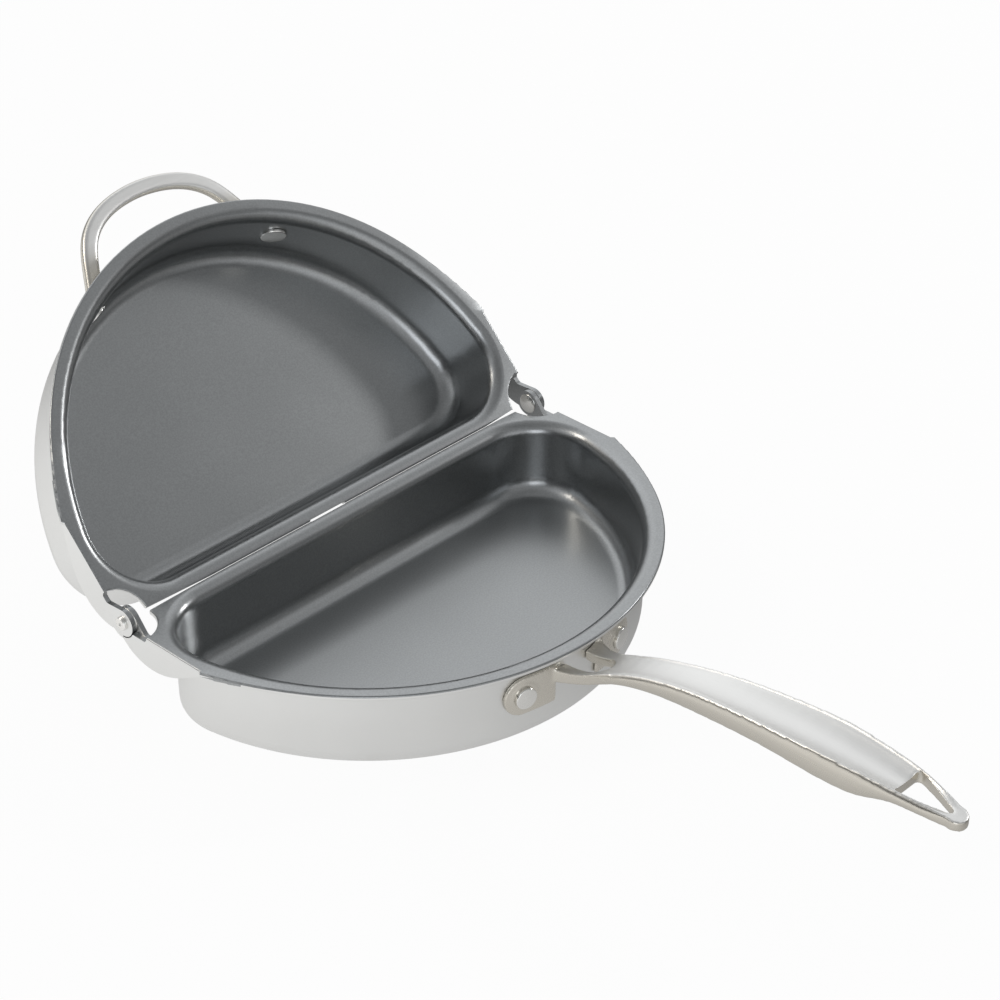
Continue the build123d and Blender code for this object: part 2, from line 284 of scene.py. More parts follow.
@dataclass(frozen=True)
class SatinAluminium:
    """Light silver aluminium with a fine satin grain."""

    name: str = "satin_aluminium"
    dark: Colour = (0.77, 0.77, 0.755)
    light: Colour = (0.83, 0.83, 0.815)
    grain_scale: float = 900.0
    grain_detail: float = 2.0
    cloud_scale: float = 30.0
    cloud_detail: float = 3.0
    roughness: Span = (0.35, 0.45)
    bump_depth: float = 0.02
    bump_strength: float = 0.2

    def material(self) -> bpy.types.Material:
        """Build the node material."""
        bench = MaterialBench.named(self.name)
        where = bench.coordinates()
        grain = bench.noise(where, self.grain_scale, self.grain_detail)
        clouds = bench.noise(where, self.cloud_scale, self.cloud_detail)
        return bench.finish(
            bench.blend(clouds, self.dark, self.light),
            bench.ramp(grain, self.roughness),
            bench.bump(grain, self.bump_depth, self.bump_strength),
        )


@dataclass(frozen=True)
class SatinSteel:
    """Satin stainless steel, brushed along one direction.

    Away from a topside its colour is multiplied by a darker, warmer tint, a painted shade on the sides,
    and it is glossier by side_gloss.
    """

    name: str = "satin_steel"
    dark: Colour = (0.83, 0.825, 0.805)
    light: Colour = (0.88, 0.875, 0.86)
    stretch: Xyz = (1.0, 0.06, 1.0)
    turn: float = 0.0
    brush_scale: float = 1400.0
    brush_detail: float = 2.0
    roughness: Span = (0.37, 0.48)
    # painted shade: the tint that darkens and warms a handle's sides below its top
    side_shade_tint: Colour = (0.80, 0.765, 0.70)
    side_gloss: float = 0.14
    bump_depth: float = 0.015
    bump_strength: float = 0.06

    def material(self) -> bpy.types.Material:
        """Build the node material."""
        bench = MaterialBench.named(self.name)
        where = bench.coordinates(self.turn, self.stretch)
        brush = bench.noise(where, self.brush_scale, self.brush_detail)
        topside = bench.add("ShaderNodeAttribute", attribute_name=TOPSIDE).outputs["Fac"]
        # painted shade: places off the topside take the darker side tint, the topside stays white
        tint = bench.blend(topside, self.side_shade_tint, (1.0, 1.0, 1.0))
        metal = bench.blend(brush, self.dark, self.light)
        links = {0: 1.0, 6: metal, 7: tint}
        colour = bench.add("ShaderNodeMix", links, data_type="RGBA", blend_type="MULTIPLY").outputs[2]
        grain = bench.ramp(brush, self.roughness)
        gloss = bench.ramp(topside, (self.side_gloss, 0.0))
        return bench.finish(
            colour,
            bench.maths("SUBTRACT", grain, gloss),
            bench.bump(brush, self.bump_depth, self.bump_strength),
        )


# ---- Frames and meshes --------------------------------------------------------------------


@dataclass(frozen=True)
class PanSizes:
    """Sizes shared by both half pans, in millimetres and degrees.

    lean is how far the back pan is tipped back at rest. The flat rim's edge along the hinge lies
    within hinge_edge along Y. The notch in the rim beside an ear starts at notch along X and
    ends at notch_end along Y, and its cut faces are bare down to lip. The lugs begin at
    lug_face along X, and the ears end at ear_face.
    """

    height: float = 39.6
    centre: float = 17.2
    hinge_height: float = 0.1
    lean: float = 46.0
    hinge_edge: float = 0.75
    notch: float = 102.2
    notch_end: float = 13.5
    lip: float = 2.3
    rim_rounding: float = 0.7
    lug_face: float = 110.55
    ear_face: float = 115.0

    def front_frame(self) -> Matrix:
        """Turn from the front pan's own frame to the scene, in metres."""
        place = Vector((0, self.centre, self.height)) * MM
        return Matrix.Translation(place) @ Matrix.Rotation(math.pi, 4, "Z")

    def back_frame(self) -> Matrix:
        """Turn from the back pan's own frame to the scene, in metres."""
        hinge = Vector((0, self.centre, self.height + self.hinge_height)) * MM
        drop = Vector((0, 0, -self.hinge_height)) * MM
        lean = Matrix.Rotation(math.radians(self.lean), 4, "X")
        return Matrix.Translation(hinge) @ lean @ Matrix.Translation(drop)


def merged_copy(node: bpy.types.Object, name: str) -> bpy.types.Object:
    """Copy a CAD node's mesh with its doubles merged.

    Args:
        node: The CAD node's object.
        name: Name of the new object.

    Returns:
        The new object, linked to the scene.
    """
    mesh = node.data.copy()
    mesh.name = name
    work = bmesh.new()
    work.from_mesh(mesh)
    bmesh.ops.remove_doubles(work, verts=work.verts, dist=MERGE_DISTANCE)
    bmesh.ops.dissolve_degenerate(work, edges=work.edges, dist=MERGE_DISTANCE)
    work.to_mesh(mesh)
    work.free()
    mesh.materials.clear()
    if "custom_normal" in mesh.attributes:
        mesh.attributes.remove(mesh.attributes["custom_normal"])
    copy = bpy.data.objects.new(name, mesh)
    bpy.context.scene.collection.objects.link(copy)
    return copy


def smooth_by_angle(piece: bpy.types.Object, angle: float) -> None:
    """Shade smooth, with edges sharper than an angle kept crisp and flats kept flat.

    Args:
        piece: The object.
        angle: Degrees.
    """
    mesh = piece.data
    mesh.shade_smooth()
    work = bmesh.new()
    work.from_mesh(mesh)
    for edge in work.edges:
        edge.smooth = edge.is_manifold and edge.calc_face_angle(0.0) < math.radians(angle)
    work.to_mesh(mesh)
    work.free()
    weighted = piece.modifiers.new("flat_faces", "WEIGHTED_NORMAL")
    weighted.mode = "FACE_AREA"
    weighted.keep_sharp = True
    make_plain(piece)


def make_plain(piece: bpy.types.Object) -> None:
    """Turn a piece's modifiers into plain mesh.

    Args:
        piece: The object.
    """
    bpy.context.view_layer.update()
    graph = bpy.context.evaluated_depsgraph_get()
    plain = bpy.data.meshes.new_from_object(piece.evaluated_get(graph), depsgraph=graph)
    piece.modifiers.clear()
    piece.data = plain


def add_smoothing(piece: bpy.types.Object, pull: float, rounds: int) -> None:
    """Add a modifier that evens out a piece's surface.

    Args:
        piece: The object.
        pull: How far a vertex moves towards its neighbours' middle in one round.
        rounds: Number of rounds.
    """
    soft = piece.modifiers.new("soft", "SMOOTH")
    soft.factor = pull
    soft.iterations = rounds


def eased(value: float, low: float, high: float) -> float:
    """Ease a value from 0 at low to 1 at high.

    Args:
        value: The value.
        low: Value that gives 0.
        high: Value that gives 1.

    Returns:
        The eased share.
    """
    share = min(max((value - low) / (high - low), 0.0), 1.0)
    return share * share * (3 - 2 * share)


# ---- Sub-assemblies -----------------------------------------------------------------------


@dataclass
class HalfPan:
    """One half pan: coated inside and on its rim, bare satin aluminium outside.

    By its normal, a face looks up when Z is past upward, is upright when Z is within mostly and
    looks sideways when X is past square. near_face is the slack at a plane, in millimetres, and
    edges sharper than crisp_angle, in degrees, stay crisp.
    """

    node: str
    body: str
    place: Matrix
    sizes: PanSizes
    coating: bpy.types.Material
    bare: bpy.types.Material
    upward: float = 0.03
    mostly: float = 0.6
    square: float = 0.95
    near_face: float = 0.02
    crisp_angle: float = 32.0

    def surface_at(self, point: Vector, normal: Vector) -> Surface:
        """Tell which finish a face has.

        Args:
            point: Face centre in the pan frame, in millimetres.
            normal: Face normal in the pan frame.

        Returns:
            The finish.
        """
        across = abs(point.x)
        outward = normal.x * point.x > 0 and abs(normal.x) > self.square
        upright = abs(normal.z) < self.mostly
        if across > self.sizes.lug_face - self.near_face:
            if outward or across > self.sizes.ear_face - self.near_face and upright:
                return Surface.BARE
            return Surface.COATED
        beside_ear = across > self.sizes.notch and point.y < self.sizes.notch_end
        if beside_ear and upright and point.z > -self.sizes.lip:
            return Surface.BARE
        hinge_edge = point.y < self.sizes.hinge_edge and abs(normal.y) > abs(normal.z)
        if hinge_edge or point.z > -self.sizes.rim_rounding:
            return Surface.COATED
        outside = normal.x * point.x + normal.y * (point.y - self.sizes.centre) > 0
        if outside and normal.z < self.mostly:
            return Surface.BARE
        return Surface.COATED if normal.z > self.upward else Surface.BARE

    def dress(self, frame: dict) -> bpy.types.Object:
        """Make the dressed copy of the node.


        Returns:
            The new piece.
        """
        piece = merged_copy(frame["nodes"][self.node], f"{self.node}_shell")
        piece.data.materials.append(self.bare)
        piece.data.materials.append(self.coating)
        back = self.place.inverted()
        turn = back.to_3x3()
        for face in piece.data.polygons:
            point = (back @ face.center) / MM
            face.material_index = self.surface_at(point, turn @ face.normal).value
        smooth_by_angle(piece, self.crisp_angle)
        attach(piece, self.body)
        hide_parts(self.node)
        LOG.info("%s: %d faces", piece.name, len(piece.data.polygons))
        return piece


@dataclass(frozen=True)
class GripShape:
    """Barrelled sides, a raised bead along both top edges and a hollow, in millimetres.

    The shape comes in over ease from start and goes out over ease before end. Widths are read
    in slices of one step and evened over spread slices to each side. The sides are pressed in
    by up to barrel, from a share barrel_from of the half width. A groove runs inset from each
    edge, and the hollow's depth grows from the first value of dish at start to the second at
    end. topside is the least Z of a top normal. pull and rounds smooth the result.
    """

    place: Matrix
    start: float = 141.0
    end: float = 300.0
    ease: float = 12.0
    step: float = 1.0
    spread: int = 4
    barrel: float = 1.0
    barrel_from: float = 0.6
    inset: float = 2.0
    groove_width: float = 0.8
    groove_depth: float = 0.35
    dish: Span = (0.3, 2.0)
    topside: float = 0.55
    pull: float = 0.5
    rounds: int = 5

    def slices(self, points: list[Vector]) -> dict[int, tuple[float, float, float]]:
        """Half width, lowest and highest height of every slice along the grip.

        Args:
            points: Vertex places in the pan frame, in millimetres.

        Returns:
            The extents by slice number.
        """
        extents: dict[int, tuple[float, float, float]] = {}
        for point in points:
            key = round(point.y / self.step)
            wide, low, high = extents.get(key, (0.0, point.z, point.z))
            extents[key] = (max(wide, abs(point.x)), min(low, point.z), max(high, point.z))
        near = range(-self.spread, self.spread + 1)
        even = {}
        for key in extents:
            around = [extents[key + k] for k in near if key + k in extents]
            even[key] = tuple(sum(values) / len(around) for values in zip(*around))
        return even

    def extent_at(self, extents: dict, along: float) -> list[float]:
        """Extents at a place along the grip, between the two nearest slices.

        Args:
            extents: What slices() gave.
            along: Distance along the grip.

        Returns:
            Half width, lowest and highest height.
        """
        low = math.floor(along / self.step)
        share = along / self.step - low
        first, second = extents[low], extents.get(low + 1, extents[low])
        return [a + share * (b - a) for a, b in zip(first, second)]

    def apply(self, piece: bpy.types.Object) -> None:
        """Press the shape into a grip's mesh, never outwards.

        Args:
            piece: The grip's object, its mesh in metres.
        """
        mesh = piece.data
        back = self.place.inverted()
        points = [(back @ vertex.co) / MM for vertex in mesh.vertices]
        turn = back.to_3x3()
        normals = [turn @ vertex.normal for vertex in mesh.vertices]
        extents = self.slices(points)
        for vertex, point, normal in zip(mesh.vertices, points, normals):
            strength = eased(point.y, self.start, self.start + self.ease)
            strength *= 1 - eased(point.y, self.end - self.ease, self.end)
            if strength <= 0:
                continue
            wide, low, high = self.extent_at(extents, point.y)
            if normal.z > self.topside:
                away = (wide - abs(point.x) - self.inset) / self.groove_width
                point.z -= strength * self.groove_depth * math.exp(-away * away)
                across = min(abs(point.x) / (wide - self.inset), 1.0)
                shallow, deep = self.dish
                hollow = shallow + (deep - shallow) * eased(point.y, self.start, self.end)
                point.z -= strength * hollow * (1 - across * across)
            level = (2 * point.z - low - high) / (high - low)
            edge = eased(abs(point.x) / wide, self.barrel_from, 1.0)
            point.x -= math.copysign(strength * self.barrel * edge * level * level, point.x)
            vertex.co = self.place @ (point * MM)
        mesh.update()
        add_smoothing(piece, self.pull, self.rounds)
        make_plain(piece)


@dataclass
class CastHandle:
    """A handle made as one casting: the solid's shape with every edge softened, in millimetres.

    The skin is as fine as grain and is smoothed by pull and rounds. The topside eases in over
    top_range of the normal's Z and over feet_range along Y. Off the topside the steel's painted
    shade darkens the sides.
    """

    node: str
    body: str
    place: Matrix
    finish: bpy.types.Material
    grip: GripShape | None = None
    top_range: Span = (0.45, 0.9)
    feet_range: Span = (128.0, 140.0)
    grain: float = 0.4
    rounds: int = 16
    pull: float = 0.5

    def mark_topside(self, piece: bpy.types.Object) -> None:
        """Store how far each vertex belongs to the handle's topside, which the painted side shade
        spares.

        Args:
            piece: The handle's object.
        """
        back = self.place.inverted()
        turn = back.to_3x3()
        shares = []
        for vertex in piece.data.vertices:
            along = (back @ vertex.co).y / MM
            up = eased((turn @ vertex.normal).z, *self.top_range)
            shares.append(up * eased(along, *self.feet_range))
        layer = piece.data.attributes.new(TOPSIDE, "FLOAT", "POINT")
        layer.data.foreach_set("value", shares)

    def dress(self, frame: dict) -> bpy.types.Object:
        """Build the softened handle.


        Returns:
            The new piece.
        """
        piece = merged_copy(frame["nodes"][self.node], f"{self.node}_casting")
        skin = piece.modifiers.new("skin", "REMESH")
        skin.mode = "VOXEL"
        skin.voxel_size = self.grain * MM
        add_smoothing(piece, self.pull, self.rounds)
        make_plain(piece)
        if self.grip:
            self.grip.apply(piece)
        piece.data.materials.clear()
        piece.data.materials.append(self.finish)
        self.mark_topside(piece)
        piece.data.shade_smooth()
        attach(piece, self.body)
        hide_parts(self.node)
        LOG.info("%s: %d faces", piece.name, len(piece.data.polygons))
        return piece


@dataclass(frozen=True)
class Lathe:
    """Turned parts: closed outlines of (radius, height) in millimetres, spun about Z."""

    outlines: tuple[Outline, ...]
    segments: int = 64

    def mesh(self, name: str) -> bpy.types.Mesh:
        """Spin the outlines into closed shells.

        Args:
            name: Name of the new mesh.

        Returns:
            The mesh, in metres.
        """
        work = bmesh.new()
        for outline in self.outlines:
            rings = [self.ring(work, radius, height) for radius, height in outline]
            pairs = list(zip(rings, rings[1:]))
            if len(rings[0]) > 1:
                pairs.append((rings[-1], rings[0]))
            for low, high in pairs:
                for k in range(self.segments):
                    after = (k + 1) % self.segments
                    corners = [low[k % len(low)], low[after % len(low)]]
                    corners += [high[after % len(high)], high[k % len(high)]]
                    work.faces.new(list(dict.fromkeys(corners)))
        bmesh.ops.recalc_face_normals(work, faces=work.faces)
        mesh = bpy.data.meshes.new(name)
        work.to_mesh(mesh)
        work.free()
        return mesh

    def ring(self, work: bmesh.types.BMesh, radius: float, height: float) -> list:
        """Add one ring of vertices, or a single one on the axis.

        Args:
            work: The mesh being built.
            radius: Ring radius in millimetres.
            height: Height in millimetres.

        Returns:
            The new vertices.
        """
        count = self.segments if radius > 0 else 1
        turns = (2 * math.pi * k / self.segments for k in range(count))
        return [
            work.verts.new((radius * math.cos(t) * MM, radius * math.sin(t) * MM, height * MM))
            for t in turns
        ]


def rounded(corner: tuple[float, float], radius: float, at_top: bool, steps: int = 5) -> list:
    """Quarter round on the outer edge of a turned outline.

    Args:
        corner: Corner as (radius, height) that the quarter round replaces.
        radius: Radius of the quarter round.
        at_top: Whether the edge is at the top.
        steps: Number of pieces.

    Returns:
        The points, by rising angle.
    """
    start, rise = (0, -radius) if at_top else (-90, radius)
    centre = (corner[0] - radius, corner[1] + rise)
    angles = (math.radians(start + 90 * k / steps) for k in range(steps + 1))
    return [(centre[0] + radius * math.cos(a), centre[1] + radius * math.sin(a)) for a in angles]


class FanInput(Enum):
    """Named inputs of the fan tree."""

    COUNT = "Count"
    SPREAD = "Spread"
    RADIUS = "Radius"
    CENTRE = "Centre"
    HEIGHT = "Height"
    TURN = "Turn"
    SEED = "Seed"
    FINISH = "Finish"


class FanTree(NodeBench):
    """Geometry Nodes tree that sets copies of a turned part around a wall, each facing out."""

    def __init__(self) -> None:
        """Build the tree."""
        super().__init__(bpy.data.node_groups.new("fan_of_fasteners", "GeometryNodeTree"))
        face = self.tree.interface
        face.new_socket("Geometry", in_out="OUTPUT", socket_type="NodeSocketGeometry")
        face.new_socket("Geometry", in_out="INPUT", socket_type="NodeSocketGeometry")
        kinds = {FanInput.COUNT: "Int", FanInput.SEED: "Int", FanInput.FINISH: "Material"}
        for item in FanInput:
            kind = kinds.get(item, "Float")
            face.new_socket(item.value, in_out="INPUT", socket_type=f"NodeSocket{kind}")
        outputs = self.add("NodeGroupInput").outputs
        self.part = outputs["Geometry"]
        self.given = {item: outputs[item.value] for item in FanInput}
        self.link_nodes()

    def link_nodes(self) -> None:
        """Place the points, set the copies on them, realise them and give them their finish."""
        given = self.given
        line = self.add("GeometryNodeMeshLine", {"Count": given[FanInput.COUNT], "Offset": (0, 0, 0)})
        gaps = self.maths("SUBTRACT", given[FanInput.COUNT], 1.0)
        share = self.maths("DIVIDE", self.add("GeometryNodeInputIndex").outputs[0], gaps)
        angle = self.maths("MULTIPLY", self.maths("SUBTRACT", share, 0.5), given[FanInput.SPREAD])
        side, ahead = self.maths("SINE", angle), self.maths("COSINE", angle)
        across = self.maths("MULTIPLY", side, given[FanInput.RADIUS])
        out = self.maths("MULTIPLY", ahead, given[FanInput.RADIUS])
        along = self.maths("ADD", out, given[FanInput.CENTRE])
        spot = self.add("ShaderNodeCombineXYZ", {"X": across, "Y": along, "Z": given[FanInput.HEIGHT]})
        facing = self.add("ShaderNodeCombineXYZ", {"X": side, "Y": ahead})
        points = self.add(
            "GeometryNodeSetPosition", {"Geometry": line.outputs[0], "Position": spot.outputs[0]}
        )
        aim = self.add("FunctionNodeAlignRotationToVector", {"Vector": facing.outputs[0]}, axis="Z")
        copies = self.add(
            "GeometryNodeInstanceOnPoints",
            {"Points": points.outputs[0], "Instance": self.part, "Rotation": aim.outputs[0]},
        )
        chance = self.add("FunctionNodeRandomValue", {"Seed": given[FanInput.SEED]})
        twist = self.maths("MULTIPLY", chance.outputs["Value"], given[FanInput.TURN])
        about = self.add("ShaderNodeCombineXYZ", {"Z": twist})
        turned = self.add(
            "GeometryNodeRotateInstances",
            {"Instances": copies.outputs[0], "Rotation": about.outputs[0]},
        )
        real = self.add("GeometryNodeRealizeInstances", {"Geometry": turned.outputs[0]})
        dressed = self.add(
            "GeometryNodeSetMaterial",
            {"Geometry": real.outputs[0], "Material": given[FanInput.FINISH]},
        )
        self.add("NodeGroupOutput", {"Geometry": dressed.outputs[0]})

    def apply(self, piece: bpy.types.Object, values: dict[FanInput, object]) -> None:
        """Put the tree on a piece, set its inputs by identifier and make the result plain.

        Args:
            piece: The turned part's object.
            values: Value of every named input.
        """
        modifier = piece.modifiers.new("fan", "NODES")
        modifier.node_group = self.tree
        for item in self.tree.interface.items_tree:
            if item.in_out == "INPUT" and item.name != "Geometry":
                modifier[item.identifier] = values[FanInput(item.name)]
        make_plain(piece)


@dataclass
class Fasteners:
    """Turned fasteners of one kind, fanned out on one half pan.

    spread is the angle in degrees from the first to the last. In millimetres, they begin at
    radius from the fan's middle, which is at centre along Y and at depth below the rim. turn is
    the largest random turn of one about its own axis, in radians.
    """

    name: str
    body: str
    place: Matrix
    replaced: tuple[str, ...]
    part: Lathe
    spread: float
    radius: float
    centre: float
    depth: float
    finish: bpy.types.Material
    count: int = 2
    turn: float = 1.0
    seed: int = 7
    crisp_angle: float = 35.0

    def build(self, tree: FanTree) -> bpy.types.Object:
        """Build the fasteners.

        Args:
            tree: The shared Geometry Nodes tree.

        Returns:
            The new piece.
        """
        piece = bpy.data.objects.new(self.name, self.part.mesh(self.name))
        bpy.context.scene.collection.objects.link(piece)
        values = {
            FanInput.COUNT: self.count,
            FanInput.SPREAD: math.radians(self.spread),
            FanInput.RADIUS: self.radius * MM,
            FanInput.CENTRE: self.centre * MM,
            FanInput.HEIGHT: -self.depth * MM,
            FanInput.TURN: self.turn,
            FanInput.SEED: self.seed,
            FanInput.FINISH: self.finish,
        }
        tree.apply(piece, values)
        piece.data.transform(self.place)
        smooth_by_angle(piece, self.crisp_angle)
        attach(piece, self.body)
        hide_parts(*self.replaced)
        LOG.info("%s: %d faces", piece.name, len(piece.data.polygons))
        return piece


@dataclass(frozen=True)
class RivetSizes:
    """Sizes of the wall rivets, in millimetres and degrees.

    The angles are those of a rivet from the middle of its handle, about the round wall's centre.
    shoulder is the share of a dome's height that is left at half its radius.
    """

    wall_radius: float = 109.8
    wall: float = 1.6
    inner_draft: float = 3.0
    outer_draft: float = 1.0
    foot: float = 1.8
    boss: float = 0.4
    shank: float = 2.5
    inner_radius: float = 5.75
    inner_height: float = 1.2
    outer_radius: float = 4.6
    outer_height: float = 1.9
    edge: float = 0.6
    inner_dome: float = 0.175
    outer_dome: float = 0.35
    shoulder: float = 2 / 3
    long_angle: float = 13.9
    long_depth: float = 16.9
    loop_angle: float = 26.8
    loop_depth: float = 14.1

    def seat(self, depth: float) -> float:
        """Distance of the inner head's seat from the wall's axis.

        Args:
            depth: Depth below the rim.

        Returns:
            The distance.
        """
        return self.wall_radius - self.wall - depth * math.tan(math.radians(self.inner_draft))

    def lathe(self, depth: float) -> Lathe:
        """Turned outline of a rivet, its inner seat at height 0.

        Args:
            depth: Depth below the rim.

        Returns:
            The turned part.
        """
        outer = self.wall_radius - depth * math.tan(math.radians(self.outer_draft)) + self.foot
        grip = outer - self.seat(depth)
        flat_radius = self.inner_radius - self.edge
        top = grip + self.outer_height
        bottom = -self.inner_height
        outline = [(0.0, bottom - self.inner_dome)]
        outline += [(flat_radius / 2, bottom - self.inner_dome * self.shoulder)]
        outline += rounded((self.inner_radius, bottom), self.edge, at_top=False)
        outline += [(self.inner_radius, 0.0), (self.shank, 0.0), (self.shank, grip + self.boss)]
        outline += [(self.outer_radius, grip + self.boss)]
        outline += rounded((self.outer_radius, top), self.edge, at_top=True)
        outline += [((self.outer_radius - self.edge) / 2, top + self.outer_dome * self.shoulder)]
        outline += [(0.0, top + self.outer_dome)]
        return Lathe((tuple(outline),))


@dataclass(frozen=True)
class PinSizes:
    """Sizes of the hinge pins and their washers, in millimetres and degrees.

    A pin begins at start from the hinge's middle, and its other places are counted from there.
    fallen is the share of the head's dome that has fallen at half its radius.
    """

    start: float = 109.55
    spread: float = 180.0
    head_radius: float = 4.3
    head_height: float = 1.0
    edge: float = 0.35
    dome: float = 0.45
    fallen: float = 0.25
    shank: float = 2.0
    washer_start: float = 3.0
    washer_end: float = 3.4
    washer_radius: float = 5.4
    peen_start: float = 5.5
    peen_end: float = 6.8
    peen_radius: float = 2.75
    peen_edge: float = 0.6
    dimple: float = 0.8

    def lathe(self) -> Lathe:
        """Turned outlines of a pin and its washer.

        Returns:
            The turned parts.
        """
        pin = [(0.0, 0.0), (self.head_radius / 2, self.dome * self.fallen)]
        pin += [(self.head_radius - self.edge, self.dome)]
        pin += [(self.head_radius, self.dome + self.edge), (self.head_radius, self.head_height)]
        pin += [(self.shank, self.head_height), (self.shank, self.peen_start)]
        pin += [(self.peen_radius, self.peen_start)]
        pin += rounded((self.peen_radius, self.peen_end), self.peen_edge, at_top=True)
        pin += [(self.dimple, self.peen_end), (self.dimple / 2, self.peen_end - self.dimple)]
        pin += [(0.0, self.peen_end - self.dimple)]
        washer = (
            (self.shank, self.washer_start), (self.washer_radius, self.washer_start),
            (self.washer_radius, self.washer_end), (self.shank, self.washer_end),
        )
        return Lathe((tuple(pin), washer))


# ---- Studio --------------------------------------------------------------------------------


@dataclass(frozen=True)
class Camera:
    """Camera, in metres and degrees; its lens is a multiple of the sensor's width."""

    place: Xyz = (-0.6499, -0.6683, 0.6497)
    heading: float = 47.34
    down: float = 32.78
    roll: float = 0.80
    sensor: float = 36.0
    lens: float = 2.790
    reach: float = 20.0

    def build(self) -> None:
        """Place the camera."""
        data = bpy.data.cameras.new("camera")
        data.sensor_width = self.sensor
        data.lens = self.sensor * self.lens
        data.clip_end = self.reach
        camera = bpy.data.objects.new("camera", data)
        bpy.context.scene.collection.objects.link(camera)
        phi, fall, roll = (math.radians(v) for v in (self.heading, self.down, self.roll))
        level = Vector((math.cos(phi), -math.sin(phi), 0))
        away = Vector((math.sin(phi), math.cos(phi), 0))
        ahead = away * math.cos(fall) - Vector((0, 0, math.sin(fall)))
        above = level.cross(ahead)
        right = level * math.cos(roll) + above * math.sin(roll)
        up = above * math.cos(roll) - level * math.sin(roll)
        turn = Matrix((right, up, -ahead)).transposed().to_4x4()
        camera.matrix_world = Matrix.Translation(self.place) @ turn
        bpy.context.scene.camera = camera


@dataclass(frozen=True)
class Floor:
    """Pale floor, in metres: white to the eye, and dimmer towards +X in reflections."""

    size: float = 8.0
    drop: float = 0.0002
    glow_span: Span = (-0.20, 0.10)
    mirrored_glow: Span = (1.08, 0.3)
    glow_share: float = 0.95
    matt: float = 0.9

    def material(self) -> bpy.types.Material:
        """Build the node material."""
        bench = MaterialBench.named("pale_floor")
        rays = bench.add("ShaderNodeLightPath").outputs
        across = bench.add("ShaderNodeSeparateXYZ", {0: bench.coordinates()}).outputs["X"]
        links = {0: rays["Is Glossy Ray"], 2: 1.0}
        links[3] = bench.ramp(across, self.mirrored_glow, self.glow_span)
        strength = bench.add("ShaderNodeMix", links, data_type="FLOAT").outputs[0]
        seen = bench.maths("MAXIMUM", rays["Is Camera Ray"], rays["Is Glossy Ray"])
        share = bench.maths("MULTIPLY", seen, self.glow_share)
        glow = bench.add("ShaderNodeEmission", {"Color": (1, 1, 1, 1), "Strength": strength})
        matt = bench.add("ShaderNodeBsdfDiffuse", {"Color": (self.matt, self.matt, self.matt, 1)})
        links = {0: share, 1: matt.outputs[0], 2: glow.outputs[0]}
        mix = bench.add("ShaderNodeMixShader", links)
        bench.add("ShaderNodeOutputMaterial", {"Surface": mix.outputs[0]})
        return bench.material

    def build(self) -> None:
        """Lay the floor."""
        half = self.size / 2
        corners = [(-half, -half, 0), (half, -half, 0), (half, half, 0), (-half, half, 0)]
        mesh = bpy.data.meshes.new("floor")
        mesh.from_pydata(corners, [], [(0, 1, 2, 3)])
        floor = bpy.data.objects.new("floor", mesh)
        floor.location.z = -self.drop
        bpy.context.scene.collection.objects.link(floor)
        mesh.materials.append(self.material())


@dataclass(frozen=True)
class Panel:
    """Far soft light panel: full within its core and gone at its rim, in degrees from its way."""

    way: Xyz
    tint: Colour
    strength: float
    core: float
    rim: float


class SkyBench(NodeBench):
    """Node helper for a world that is looked up by direction."""

    def __init__(self, tree: bpy.types.NodeTree) -> None:
        """Start with the direction that is looked up.

        Args:
            tree: The world's empty tree.
        """
        super().__init__(tree)
        self.heading = self.add("ShaderNodeTexCoord").outputs["Generated"]

    def facing(self, way: Xyz) -> bpy.types.NodeSocket:
        """Dot product of the direction with a way.

        Args:
            way: The way.

        Returns:
            The product.
        """
        links = {0: self.heading, 1: way}
        return self.add("ShaderNodeVectorMath", links, operation="DOT_PRODUCT").outputs["Value"]

    def soft(self, value: bpy.types.NodeSocket, target: Span, source: Span) -> bpy.types.NodeSocket:
        """Map a value from one span to another with soft ends.

        Args:
            value: The value to map.
            target: Results at the two ends of the source span.
            source: Values that give them.

        Returns:
            The mapped value.
        """
        return self.ramp(value, target, source, "SMOOTHSTEP")

    def light(self, tint: Colour, strength: float | bpy.types.NodeSocket) -> bpy.types.NodeSocket:
        """Add a Background shader.

        Args:
            tint: Its colour.
            strength: Its strength.

        Returns:
            The shader output.
        """
        return self.add("ShaderNodeBackground", {"Color": (*tint, 1), "Strength": strength}).outputs[0]


